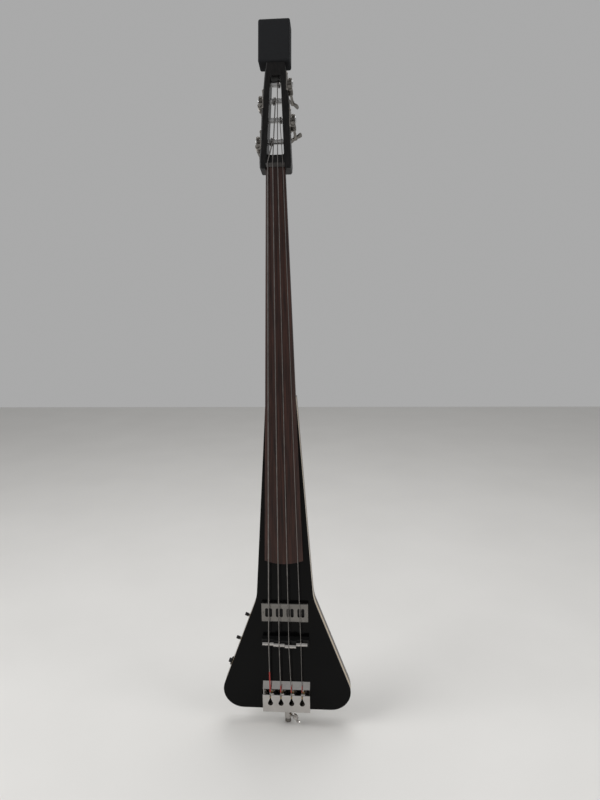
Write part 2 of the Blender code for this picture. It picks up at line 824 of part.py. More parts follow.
def make_gear(name, side, base):
    """Teeth lean over by the worm's lead angle, so that they seat in its thread."""
    lead_angle = math.atan(WORM_LEAD / (math.tau * WORM_PITCH_RADIUS))
    twist = GEAR_WIDTH / 2 * math.tan(lead_angle) / GEAR_PITCH_RADIUS
    middle = side * (plate_seat(name) + SEAT + WORM_OUT)
    half = GEAR_WIDTH / 2
    bm = loft([tooth_ring(middle - half, -twist), tooth_ring(middle + half, twist)])
    gear = add(name + "_gear", bm, aged_nickel(), base)
    boss_low = plate_seat(name) + SEAT + PLATE_THICK + 2 * SEAT
    boss = rod(ROLLER_RADIUS + 0.0015, boss_low, abs(middle) - half + 0.0004, 16)
    join(gear, tool(name + "_gear_boss", boss, base, turn(90 * side, 'Y')))
    bore = rod(GEAR_BORE, 0, 0.06, 12)
    cut(gear, tool(name + "_gear_bore_cut", bore, base, turn(90 * side, 'Y')))


def worm_thread():
    """A slanted rib swept along its helix, sunk a little into the shaft."""
    bm = bmesh.new()
    inner = WORM_ROOT - 0.0004
    start = -WORM_TURNS * WORM_LEAD / 2
    corners = []
    for radius, sign in ((inner, -1), (WORM_TIP, -1), (WORM_TIP, 1), (inner, 1)):
        half = THREAD_THICK / 2 - (radius - WORM_PITCH_RADIUS) * math.tan(TOOTH_SLOPE)
        corners.append(bm.verts.new((0, -radius, start + sign * half)))
    face = bm.faces.new(corners)
    bmesh.ops.spin(bm, geom=[face] + face.edges[:] + corners, cent=(0, 0, 0), axis=(0, 0, 1),
                   dvec=(0, 0, WORM_LEAD / WORM_STEPS), angle=math.tau * WORM_TURNS,
                   steps=WORM_TURNS * WORM_STEPS)
    ends = [edge for edge in bm.edges if len(edge.link_faces) == 1]
    bmesh.ops.holes_fill(bm, edges=ends, sides=0)
    return bm


def make_key(name, side, base):
    """Worm shaft with a bow-tie pair of ears, turned to its place at rest."""
    frame = empty(name + "_key_axis", key_matrix(name, side), base)
    lug_out = lug_offset() + LUG_WIDTH / 2 + RUNNING
    reach = KEY_REACH
    profile = [
        (0, -lug_out - 0.0022),
        (0.0034, -lug_out - 0.0018),
        (0.0036, -lug_out),
        (SHAFT_RADIUS, -lug_out),
        (SHAFT_RADIUS, -lug_offset() + LUG_WIDTH / 2 + RUNNING),
        (WORM_ROOT, -lug_offset() + LUG_WIDTH / 2 + RUNNING),
        (WORM_ROOT, lug_offset() - LUG_WIDTH / 2 - RUNNING),
        (SHAFT_RADIUS, lug_offset() - LUG_WIDTH / 2 - RUNNING),
        (SHAFT_RADIUS, lug_out),
        (0.0040, lug_out),
        (0.0036, lug_out + 0.0030),
        (0.0026, lug_out + 0.0045),
        (0.0030, reach - 0.002),
        (0.0044, reach + 0.002),
        (0.0044, reach + EAR_LENGTH - 0.006),
        (0.0026, reach + EAR_LENGTH - 0.003),
        (0, reach + EAR_LENGTH - 0.0024),
    ]
    key = add(name + "_tuner_key", turned(profile, 12), aged_nickel(), frame)
    thread = tool(name + "_worm_thread", worm_thread(), frame, phase_matrix())
    ear = tool(name + "_ear", ear_shape(), frame, turn(EAR_ANGLE[name], 'Z'))
    join(key, thread, ear)


def phase_matrix():
    """Turn the thread so that a gap faces the gear tooth nearest to it."""
    return turn(180, 'Z')


def ear_shape():
    low = KEY_REACH
    high = KEY_REACH + EAR_LENGTH
    half = EAR_HALF
    right = [(0.0020, low + 0.0040), (half * 0.62, low + 0.0005), (half * 0.90, low + 0.0008),
             (half, low + 0.0035), (half, high - 0.0035), (half * 0.90, high - 0.0008),
             (half * 0.62, high - 0.0005), (0.0020, high - 0.0045)]
    outline = right + [(-x, z) for x, z in reversed(right)]
    bm = slab(outline, -EAR_THICK / 2, EAR_THICK / 2)
    return bm


def plate_screw_heads(name, side):
    """Four domed heads, one at each corner of the plate."""
    heads = []
    edge = 0.0042
    face = plate_seat(name) + SEAT + PLATE_THICK - 0.0003
    for depth in (edge - PLATE_HALF_DEPTH, PLATE_HALF_DEPTH - edge):
        for height in (edge - PLATE_BELOW, PLATE_ABOVE - edge):
            head = turned([(0, 0), (PLATE_SCREW_RADIUS, 0), (PLATE_SCREW_RADIUS * 0.8, 0.0013),
                           (0, 0.0018)], 8)
            head.transform(move(side * face, depth, height) @ turn(90 * side, 'Y'))
            heads.append(head)
    return gather(heads)


# Strings

def winding_start(name):
    """Where the string first touches its roller, in pegbox directions."""
    radius = ROLLER_RADIUS + SEAT + GAUGE[name] / 2
    return Vector((ROLLER_X[name], ROLLER_DEPTH - radius, ROLLER_HEIGHT[name]))


def winding(name):
    """Turns round the roller, side by side, towards the nearer cheek."""
    radius = ROLLER_RADIUS + SEAT + GAUGE[name] / 2
    pitch = (GAUGE[name] + WIND_GAP) * (-1 if ROLLER_X[name] < 0 else 1)
    points = []
    for step in range(LOOP_POINTS * WIND_TURNS + 1):
        angle = math.tau * step / LOOP_POINTS
        points.append(Vector((ROLLER_X[name] + pitch * angle / math.tau,
                              ROLLER_DEPTH - radius * math.cos(angle),
                              ROLLER_HEIGHT[name] + radius * math.sin(angle))))
    return points


def string_route(name):
    """Ball end, tailpiece, saddle, nut and roller, as points in the world."""
    lift = GAUGE[name] / 2
    ball = ball_centre(name)
    crest_y = FRONT_Y - SEAT - TAIL_RISE
    saddle = Vector((BRIDGE_X[name], saddle_top(name) - lift - SEAT, saddle_z(name)))
    nut_y = nut_string_y(name)
    points = [
        ball + Vector((0, -BALL_RADIUS * 0.6, BALL_RADIUS + SEAT)),
        Vector((KEYHOLE_X[name], crest_y + TAIL_SHEET / 2, TAIL_CREST_Z - 0.0030)),
        Vector((KEYHOLE_X[name], crest_y - lift * 0.5, TAIL_CREST_Z + 0.0020)),
    ]
    points += [points[-1].lerp(saddle, share) for share in (0.34, 0.67, 0.98)]
    points.append(saddle)
    nut = Vector((NUT_X[name], nut_y, NUT_Z + 0.0015))
    points += [saddle.lerp(nut, share) for share in (0.02, 0.25, 0.5, 0.75)]
    points.append(nut)
    points.append(Vector((NUT_X[name], nut_y, NUT_Z + NUT_DEPTH + lift)))
    to_world = peg_matrix()
    coil = [to_world @ point for point in winding(name)]
    points += [points[-1].lerp(coil[0], share) for share in (0.1, 0.5)]
    return points + coil


def least_self_gap(points, gauge, apart):
    """Smallest space between stretches of a route that aren't neighbours."""
    gaps = []
    for i, first in enumerate(points):
        for second in points[i + apart:]:
            gaps.append((first - second).length - gauge)
    return min(gaps)


def ball_centre(name):
    y = FRONT_Y - SEAT - TAIL_RISE + TAIL_SHEET + SEAT + BALL_RADIUS
    return Vector((KEYHOLE_X[name], y, TAIL_CREST_Z - 0.0085))


def make_string(name):
    points = string_route(name)
    curve = bpy.data.curves.new(name + "_string", 'CURVE')
    curve.dimensions = '3D'
    curve.resolution_u = 1
    curve.render_resolution_u = 0
    curve.bevel_depth = GAUGE[name] / 2
    curve.bevel_resolution = 1
    curve.use_fill_caps = True
    spline = curve.splines.new('POLY')
    spline.points.add(len(points) - 1)
    for slot, point in zip(spline.points, points):
        slot.co = (*point, 1.0)
    curve.materials.append(string_metal())
    made = bpy.data.objects.new(name + "_string", curve)
    bpy.context.scene.collection.objects.link(made)
    coil = winding(name)
    gap = least_self_gap(coil, GAUGE[name], LOOP_POINTS // 2)
    print(f"{name} string: least gap between turns {gap * 1000:.2f} mm")


def make_ball_ends():
    for name in STRING_NAMES:
        half = BALL_WIDTH / 2
        ball = turned([(0, -half), (BALL_RADIUS * 0.8, -half), (BALL_RADIUS, -half * 0.6),
                       (BALL_RADIUS, half * 0.6), (BALL_RADIUS * 0.8, half), (0, half)], 12)
        ball.transform(Matrix.Translation(ball_centre(name)) @ turn(90, 'Y'))
        add(name + "_ball_end", ball, brass())


# Bridge

def make_bridge():
    """A crowned black block, grooved along the strings under each saddle."""
    y = FRONT_Y - SEAT
    half = BRIDGE_HALF
    step = SADDLE_X["d"] + SADDLE_WIDTH / 2
    outline = [(-half, y), (half, y), (half, y - BRIDGE_OUTER), (step, y - BRIDGE_OUTER),
               (step, y - BRIDGE_INNER), (-step, y - BRIDGE_INNER),
               (-step, y - BRIDGE_OUTER), (-half, y - BRIDGE_OUTER)]
    low = BRIDGE_Z - BRIDGE_LENGTH / 2
    high = BRIDGE_Z + BRIDGE_LENGTH / 2
    bm = loft([[(x, depth, z) for x, depth in outline] for z in (low, high)])
    bridge = add("bridge_base", bm, black_plastic())
    for name in STRING_NAMES:
        x = SADDLE_X[name]
        top = saddle_top(name) + SADDLE_HEIGHT + SEAT
        wide = SADDLE_KEY / 2 + SEAT
        groove = box((x - wide, top - 0.01, low - 0.01),
                     (x + wide, top + SADDLE_KEY_DEPTH + SEAT, high + 0.01))
        cut(bridge, tool(name + "_groove_cut", groove))
        make_saddle(name)


def make_saddle(name):
    """A half-round chrome bar with a key that slides in the block's groove."""
    x = SADDLE_X[name]
    half = SADDLE_WIDTH / 2
    top = saddle_top(name)
    floor = top + SADDLE_HEIGHT
    z = saddle_z(name)
    radius = SADDLE_LENGTH / 2
    side = [(floor, z + radius)]
    for step in range(9):
        angle = math.pi * step / 8
        side.append((top + radius - radius * math.sin(angle), z + radius * math.cos(angle)))
    side.append((floor, z - radius))
    bm = loft([[(across, depth, up) for depth, up in side] for across in (x - half, x + half)])
    saddle = add(name + "_saddle", bm, chrome())
    key = box((x - SADDLE_KEY / 2, floor - 0.0005, z - radius),
              (x + SADDLE_KEY / 2, floor + SADDLE_KEY_DEPTH, z + radius))
    join(saddle, tool(name + "_saddle_key", key))


# Pickup

def make_pickup():
    """A plated cover with four windows over the coils' poles."""
    y = FRONT_Y - SEAT
    half_z = PICKUP_LENGTH / 2
    bm = soft_box((-PICKUP_HALF, y - PICKUP_HEIGHT, PICKUP_Z - half_z),
                  (PICKUP_HALF, y + 0.006, PICKUP_Z + half_z), 0.0018, 2)
    cover = add("pickup_cover", bm, chrome())
    trim = tool("cover_foot_cut", box((-0.07, y, PICKUP_Z - 0.03), (0.07, y + 0.02, PICKUP_Z + 0.03)))
    hollow = tool("cover_hollow_cut", box(
        (PICKUP_WALL - PICKUP_HALF, y - PICKUP_HEIGHT + PICKUP_WALL, PICKUP_WALL + PICKUP_Z - half_z),
        (PICKUP_HALF - PICKUP_WALL, y + 0.01, PICKUP_Z + half_z - PICKUP_WALL)))
    cut(cover, trim, hollow)
    for index in range(8):
        x = (index // 2 - 1.5) * PICKUP_PITCH + (index % 2 - 0.5) * WINDOW_PITCH
        corners = rectangle(x, WINDOW_WIDTH / 2, PICKUP_Z, WINDOW_LENGTH / 2)
        window = rounded(corners, WINDOW_WIDTH * 0.45, 3)
        shape = slab(window, y - PICKUP_HEIGHT - 0.002, y - PICKUP_HEIGHT + 0.004)
        cut(cover, tool(f"window_{index}_cut", shape))
    make_pickup_inside(y)


def make_pickup_inside(y):
    """Bobbin, pole pieces and coil winding sit in the body's cavity."""
    half_z = CAVITY_LENGTH / 2 - 0.0006
    half_x = CAVITY_HALF - 0.0006
    face = y - PICKUP_HEIGHT + PICKUP_WALL + 0.0025
    floor = FRONT_Y + CAVITY_DEPTH - SEAT
    flange = rounded(rectangle(0, half_x, PICKUP_Z, half_z), CAVITY_CORNER, 2)
    bobbin = add("pickup_bobbin", slab(flange, floor - 0.003, floor), black_plastic())
    high_flange = tool("bobbin_flange", slab(flange, face, face + 0.0022))
    core = tool("bobbin_core", box((-half_x + 0.009, face + 0.001, PICKUP_Z - 0.006),
                                   (half_x - 0.009, floor - 0.001, PICKUP_Z + 0.006)))
    join(bobbin, high_flange, core)
    outer = rounded(rectangle(0, half_x - 0.001, PICKUP_Z, half_z - 0.001), 0.006, 3)
    low_y = face + 0.0022 + SEAT
    high_y = floor - 0.003 - SEAT
    coil = add("pickup_coil", slab(outer, low_y, high_y), finish("coil_wire", (0.20, 0.06, 0.02), 0.45))
    middle = box((-half_x + 0.009 - SEAT, low_y - 0.01, PICKUP_Z - 0.006 - SEAT),
                 (half_x - 0.009 + SEAT, high_y + 0.01, PICKUP_Z + 0.006 + SEAT))
    cut(coil, tool("coil_middle_cut", middle))
    poles = []
    for index in range(8):
        x = (index // 2 - 1.5) * PICKUP_PITCH + (index % 2 - 0.5) * WINDOW_PITCH
        pole = rod(POLE_RADIUS, -face - 0.001, -face + 0.0008, 10)
        pole.transform(move(x, 0, PICKUP_Z) @ turn(90, 'X'))
        poles.append(pole)
    join(bobbin, tool("pole_pieces", gather(poles)))


# Tailpiece

def make_tailpiece():
    """One folded sheet: a ramp that meets the strings, then a slotted wall."""
    y = FRONT_Y - SEAT
    t = TAIL_SHEET
    ramp = y - TAIL_RAMP_RISE
    crest = y - TAIL_RISE
    low = TAIL_BOTTOM_Z
    side = [
        (y, TAIL_TOP_Z), (y - t * 0.6, TAIL_TOP_Z), (ramp + 0.0008, TAIL_RAMP_Z + 0.0022),
        (ramp, TAIL_RAMP_Z + 0.0012), (ramp + 0.0004, TAIL_RAMP_Z), (ramp + 0.0016, TAIL_RAMP_Z - 0.0006),
        (y - t, TAIL_RAMP_Z - 0.0006), (y - t, TAIL_CREST_Z - 0.024), (y - t, low + t),
        (crest + t, low + t), (crest + t, TAIL_CREST_Z - 0.0009), (crest + t * 0.75, TAIL_CREST_Z - 0.0002),
        (crest + t / 2, TAIL_CREST_Z), (crest + t * 0.25, TAIL_CREST_Z - 0.0002),
        (crest, TAIL_CREST_Z - 0.0009), (crest, low + 0.0015), (crest + 0.0005, low + 0.0005),
        (crest + 0.0015, low), (y, low),
    ]
    bm = loft([[(x, depth, up) for depth, up in side] for x in (-TAIL_HALF, TAIL_HALF)])
    tail = add("tailpiece", bm, chrome())
    for name in STRING_NAMES:
        shape = slab(keyhole_outline(KEYHOLE_X[name]), crest - 0.01, crest + t + 0.004)
        cut(tail, tool(name + "_keyhole_cut", shape))


def keyhole_outline(x):
    """A narrow slot from the crest that opens into a round end."""
    middle = TAIL_CREST_Z - KEYHOLE_DROP
    narrow = KEYHOLE_SLOT
    throat = middle + KEYHOLE_RADIUS + 0.0050
    right = [(x + narrow, TAIL_CREST_Z + 0.003), (x + narrow, throat)]
    for step in range(8):
        angle = math.radians(40 - step * 130 / 7)
        right.append((x + KEYHOLE_RADIUS * math.cos(angle), middle + KEYHOLE_RADIUS * math.sin(angle)))
    left = [(2 * x - across, up) for across, up in reversed(right[:-1])]
    return right + left


# Endpin

def make_endpin():
    flange_z = BODY_BOTTOM_Z - SEAT
    top = BODY_BOTTOM_Z + SOCKET_DEPTH
    inner = ROD_RADIUS + RUNNING
    collar_side = [(inner, top), (SOCKET_RADIUS, top), (SOCKET_RADIUS, flange_z),
                   (FLANGE_RADIUS, flange_z), (FLANGE_RADIUS, flange_z - FLANGE_THICK + 0.0008),
                   (FLANGE_RADIUS - 0.0008, flange_z - FLANGE_THICK),
                   (COLLAR_RADIUS, flange_z - FLANGE_THICK),
                   (COLLAR_RADIUS, COLLAR_BOTTOM_Z + 0.001),
                   (COLLAR_RADIUS - 0.001, COLLAR_BOTTOM_Z), (inner, COLLAR_BOTTOM_Z)]
    collar = add("endpin_collar", turned(collar_side, 24), chrome())
    aim = wing_matrix()
    boss = tool("wing_boss", rod(0.0048, 0.0060, COLLAR_RADIUS + 0.0030, 12), place=aim)
    join(collar, boss)
    thread = rod(WING_SCREW_RADIUS + RUNNING, 0.0, COLLAR_RADIUS + 0.01, 12)
    cut(collar, tool("wing_thread_cut", thread, place=aim))
    rod_low = TIP_HEIGHT + SEAT
    pin = [(0, rod_low - 0.006), (0.0030, rod_low - 0.006), (0.0030, rod_low), (ROD_RADIUS, rod_low),
           (ROD_RADIUS, ROD_TOP_Z - 0.001), (ROD_RADIUS - 0.001, ROD_TOP_Z), (0, ROD_TOP_Z)]
    add("endpin_rod", turned(pin, 20), steel())
    tip = [(0.0030 + SEAT, TIP_HEIGHT), (0.0030 + SEAT, TIP_HEIGHT - 0.0064), (0, TIP_HEIGHT - 0.0064),
           (0, 0), (TIP_RADIUS - 0.0012, 0), (TIP_RADIUS, 0.0012), (TIP_RADIUS - 0.0010, TIP_HEIGHT)]
    add("endpin_tip", turned_open(tip, 20), aged_nickel())
    make_wing_screw(aim)


def turned_open(profile, steps):
    """Turn a closed section that touches the axis along one side."""
    bm = bmesh.new()
    verts = [bm.verts.new((radius, 0, height)) for radius, height in profile]
    for i, first in enumerate(verts):
        second = verts[(i + 1) % len(verts)]
        if first.co.x > 0 or second.co.x > 0:
            bm.edges.new((first, second))
    bmesh.ops.spin(bm, geom=bm.verts[:] + bm.edges[:], cent=(0, 0, 0), axis=(0, 0, 1),
                   angle=math.tau, steps=steps, use_merge=True)
    bmesh.ops.remove_doubles(bm, verts=bm.verts, dist=0.000001)
    return bm


def wing_matrix():
    """Frame of the clamp screw: its Z points out to the right and forwards."""
    return move(0, 0, WING_Z) @ Matrix.Rotation(WING_AIM, 4, 'Z') @ turn(90, 'Y')


def make_wing_screw(aim):
    hub = WING_OUT
    low = ROD_RADIUS + RUNNING
    profile = [(0, low), (WING_SCREW_RADIUS, low), (WING_SCREW_RADIUS, hub - 0.0080),
               (0.0040, hub - 0.0070), (0.0050, hub - 0.0040), (0.0044, hub + 0.0030), (0, hub + 0.0036)]
    screw = add("endpin_wing_screw", turned(profile, 12), chrome(), place=aim)
    wings = bmesh.new()
    for sign in (-1, 1):
        outline = [(0.0020 * sign, hub - 0.0050), (0.0075 * sign, hub - 0.0036)]
        for step in range(7):
            angle = math.radians(-60 + step * 190 / 6)
            outline.append((sign * (WING_SPAN - 0.0045 + 0.0045 * math.cos(angle)),
                            hub + 0.0020 + 0.0062 * math.sin(angle)))
        outline.append((0.0045 * sign, hub + 0.0020))
        outline.append((0.0020 * sign, hub + 0.0010))
        slab(outline, -WING_THICK / 2, WING_THICK / 2, into=wings)
    join(screw, tool("wings", wings, place=aim @ turn(18, 'Z')))


# Controls

def make_controls():
    for name, z in (("volume", VOLUME_Z), ("tone", TONE_Z)):
        frame = empty(name + "_axis", wall_matrix(z))
        make_pot(name, frame)
        make_knob(name, frame)
    make_jack()


def make_pot(name, frame):
    """Can behind the wall, threaded bush through it and a nut outside."""
    inner = KNOB_SHAFT + RUNNING
    behind = -WALL - SEAT
    side = [(inner, 0.0020), (BUSH_RADIUS, 0.0020), (BUSH_RADIUS, behind), (POT_RADIUS, behind),
            (POT_RADIUS, behind - POT_THICK), (inner, behind - POT_THICK)]
    pot = add(name + "_pot", turned(side, 20), aged_nickel(), frame)
    tags = tool(name + "_pot_tags", box((-0.0045, POT_RADIUS - 0.0015, behind - 0.0030),
                                        (0.0045, POT_RADIUS + 0.0006, behind - 0.0022)), frame)
    join(pot, tags)


def make_knob(name, frame):
    """A slim knob, fluted round its side, on the pot's shaft."""
    low = 0.0024
    high = low + KNOB_LENGTH
    rings = []
    for height, shrink in ((low, 0.0003), (low + 0.0006, 0), (high - 0.0010, 0.0002), (high, 0.0010)):
        ring = []
        for step in range(24):
            angle = math.tau * step / 24
            flute = 0.00035 if step % 2 else 0.0
            radius = KNOB_RADIUS - shrink - flute
            ring.append((radius * math.cos(angle), radius * math.sin(angle), height))
        rings.append(ring)
    knob = add(name + "_knob", loft(rings), black_plastic(), frame)
    shaft = rod(KNOB_SHAFT, -WALL - SEAT - POT_THICK + 0.001, low + 0.002, 12)
    join(knob, tool(name + "_shaft", shaft, frame))


def make_jack():
    """Round bezel and threaded barrel, held by a nut inside the wall."""
    frame = empty("jack_axis", wall_matrix(JACK_Z))
    reach = JACK_REACH
    side = [(JACK_BORE, reach), (0.0046, reach), (0.0050, reach - 0.0006), (0.0050, 0.0034),
            (JACK_RADIUS - 0.0022, 0.0034), (JACK_RADIUS, 0.0016), (JACK_RADIUS, SEAT),
            (JACK_BARREL, SEAT), (JACK_BARREL, -WALL - 0.0090), (JACK_BORE, -WALL - 0.0090)]
    add("output_jack", turned(side, 24), black_plastic(), frame)
    nut = add("jack_nut", rod(0.0082, -WALL - 0.0028, -WALL - SEAT, 6), aged_nickel(), frame,
              smooth=0)
    cut(nut, tool("jack_nut_bore_cut", rod(JACK_BARREL + SEAT, -0.02, 0.0, 24), frame))


def make_cover():
    """Lid of the control bay, let in flush with the back."""
    low = BACK_Y - COVER_THICK
    lid = add("bay_cover", slab(bay_outline(COVER_LIP - SEAT), low, BACK_Y), black_plastic())
    holes = []
    outline = bay_outline(COVER_LIP / 2 - 0.001)
    quarter = len(outline) // 4
    for index in range(4):
        x, z = outline[index * quarter + quarter // 2]
        place = move(x, 0, z) @ turn(-90, 'X')
        hole = rod(0.0024 + SEAT, low + 0.0001, BACK_Y + 0.01, 10)
        hole.transform(place)
        holes.append(hole)
        screw = rod(0.0024, low + 0.0004, BACK_Y - 0.0002, 10)
        add(f"bay_cover_screw_{index + 1}", screw, aged_nickel(), place=place)
    cut(lid, tool("cover_screw_cut", gather(holes)))


def main():
    clear_scene()
    peg_frame = empty("pegbox_frame", peg_matrix())
    make_body()
    make_neck(peg_frame)
    make_fingerboard()
    make_nut()
    make_head_block(peg_frame)
    for name in STRING_NAMES:
        make_tuner(name, peg_frame)
        make_string(name)
    make_ball_ends()
    make_bridge()
    make_pickup()
    make_tailpiece()
    make_endpin()
    make_controls()
    make_cover()


main()
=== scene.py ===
# %% [markdown]
# # Electric double bass: the looks
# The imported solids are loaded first. Everything after this dresses them: each
# solid keeps its shape and gets a procedural finish, and a few small pieces
# that are too fine for the solids are modelled here.

# %% load the solids
import math

import bmesh
import bpy
from mathutils import Matrix, Vector


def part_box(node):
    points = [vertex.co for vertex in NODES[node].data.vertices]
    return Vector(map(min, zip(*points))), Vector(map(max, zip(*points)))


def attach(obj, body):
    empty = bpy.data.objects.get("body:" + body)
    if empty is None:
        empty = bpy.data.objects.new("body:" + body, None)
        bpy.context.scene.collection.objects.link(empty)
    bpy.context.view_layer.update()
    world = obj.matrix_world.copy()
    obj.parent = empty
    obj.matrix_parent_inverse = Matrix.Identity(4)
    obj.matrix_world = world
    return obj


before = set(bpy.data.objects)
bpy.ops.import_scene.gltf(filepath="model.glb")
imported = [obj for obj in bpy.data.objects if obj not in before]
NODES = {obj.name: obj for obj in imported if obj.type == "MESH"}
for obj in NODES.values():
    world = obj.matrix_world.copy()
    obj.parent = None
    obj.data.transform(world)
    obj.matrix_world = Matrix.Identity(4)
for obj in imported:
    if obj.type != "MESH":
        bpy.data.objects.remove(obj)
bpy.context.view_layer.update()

print("solids:", len(NODES))

# %% [markdown]
# ## Sizes
# The sizes that the added pieces need, in metres. Those that repeat a size of
# the solids are the same as in the part's source, so that the pieces land on
# them.

# %% sizes
FRONT_Y = -0.0203
STRING_NAMES = ("e", "a", "d", "g")
GAUGE = {"e": 0.0027, "a": 0.0022, "d": 0.0018, "g": 0.0014}
TAIL_X = {"e": -0.0375, "a": -0.0125, "d": 0.0125, "g": 0.0375}
BRIDGE_X = {"e": -0.0370, "a": -0.0125, "d": 0.0098, "g": 0.0370}
TAIL_CREST_Z = 0.0945
TAIL_RISE = 0.0160
SADDLE_TOP = {name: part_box(name + "_saddle")[0][1] for name in STRING_NAMES}
SADDLE_MIDDLE = {name: sum(corner[2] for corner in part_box(name + "_saddle")) / 2
                 for name in STRING_NAMES}
SILK_SHARE = {"e": (0.05, 0.47), "a": (0.05, 0.19), "d": (0.05, 0.19), "g": (0.05, 0.19)}
SILK_LIFT = 0.00012          # a rib over the string
SILK_GROOVE = 0.4            # share of that lift between two ribs
SILK_PITCH = 0.0005
SILK_SIDES = 14
SEAT = 0.0003                # gap between a string and what carries it
CREST_LEAVE = 0.0020         # where a string leaves the tailpiece, over its crest
CREST_SINK = 0.5             # share of the half thickness that sinks in there
SCREW_RADIUS = 0.0022
SCREW_INSET = 0.0045         # from the ends of the pickup cover
SCREW_UP = 0.0228            # from the lower edge of the pickup cover
SCREW_SEAT = 0.0001
SCREW_STEPS = 24
SOLID_SHARP = math.radians(30)
PIECE_SHARP = math.radians(35)

# %% [markdown]
# ## Smooth shading
# Round solids are made of flat facets. Shading them smooth up to a 30 degree
# turn hides the facets and keeps every real edge sharp.

# %% smooth shading
for node in NODES.values():
    node.data.shade_smooth()
    node.data.set_sharp_from_angle(angle=SOLID_SHARP)
print("smoothed:", len(NODES))

# %% [markdown]
# ## Shader groups
# Two small groups do the shared work. The first mottles a colour and a
# roughness with soft noise and gives a fine bump. The second draws long wood
# grain up the instrument.

# %% shader groups
MOTTLE_BUMP = 0.0004
GRAIN_BUMP = 0.0003
GRAIN_STRETCH = 0.035        # how slowly the grain changes up the instrument
STREAK_SCALE = 320.0
STREAK_RANGE = (0.32, 0.68)
PORE_SCALE = 1500.0


def group(name, inputs, outputs):
    """An empty shader group with the given sockets."""
    made = bpy.data.node_groups.new(name, "ShaderNodeTree")
    for label, kind, value in inputs:
        socket = made.interface.new_socket(name=label, in_out="INPUT", socket_type=kind)
        socket.default_value = value
    for label, kind in outputs:
        made.interface.new_socket(name=label, in_out="OUTPUT", socket_type=kind)
    return made


def node(tree, kind, x, y, **values):
    """A shader node at a place in the tree's drawing."""
    made = tree.nodes.new(kind)
    made.location = (x, y)
    for key, value in values.items():
        setattr(made, key, value)
    return made


def mottle_group():
    """Soft noise for colour and roughness, with a fine bump."""
    tree = group("mottle",
                 [("Dark", "NodeSocketColor", (0.1, 0.1, 0.1, 1)),
                  ("Light", "NodeSocketColor", (0.2, 0.2, 0.2, 1)),
                  ("Smooth", "NodeSocketFloat", 0.3),
                  ("Rough", "NodeSocketFloat", 0.5),
                  ("Scale", "NodeSocketFloat", 60.0),
                  ("Grit", "NodeSocketFloat", 900.0),
                  ("Depth", "NodeSocketFloat", 0.05)],
                 [("Color", "NodeSocketColor"), ("Roughness", "NodeSocketFloat"),
                  ("Normal", "NodeSocketVector")])
    start = node(tree, "NodeGroupInput", -900, 0)
    end = node(tree, "NodeGroupOutput", 500, 0)
    place = node(tree, "ShaderNodeTexCoord", -900, -300)
    broad = node(tree, "ShaderNodeTexNoise", -600, 200)
    broad.inputs["Detail"].default_value = 4.0
    fine = node(tree, "ShaderNodeTexNoise", -600, -200)
    fine.inputs["Detail"].default_value = 2.0
    tint = node(tree, "ShaderNodeMix", -200, 200, data_type="RGBA")
    sheen = node(tree, "ShaderNodeMix", -200, 0, data_type="FLOAT")
    bump = node(tree, "ShaderNodeBump", 200, -250)
    bump.inputs["Distance"].default_value = MOTTLE_BUMP
    link = tree.links.new
    link(place.outputs["Object"], broad.inputs["Vector"])
    link(place.outputs["Object"], fine.inputs["Vector"])
    link(start.outputs["Scale"], broad.inputs["Scale"])
    link(start.outputs["Grit"], fine.inputs["Scale"])
    link(broad.outputs["Fac"], tint.inputs["Factor"])
    link(start.outputs["Dark"], tint.inputs["A"])
    link(start.outputs["Light"], tint.inputs["B"])
    link(broad.outputs["Fac"], sheen.inputs["Factor"])
    link(start.outputs["Smooth"], sheen.inputs["A"])
    link(start.outputs["Rough"], sheen.inputs["B"])
    link(fine.outputs["Fac"], bump.inputs["Height"])
    link(start.outputs["Depth"], bump.inputs["Strength"])
    link(tint.outputs["Result"], end.inputs["Color"])
    link(sheen.outputs["Result"], end.inputs["Roughness"])
    link(bump.outputs["Normal"], end.inputs["Normal"])
    return tree


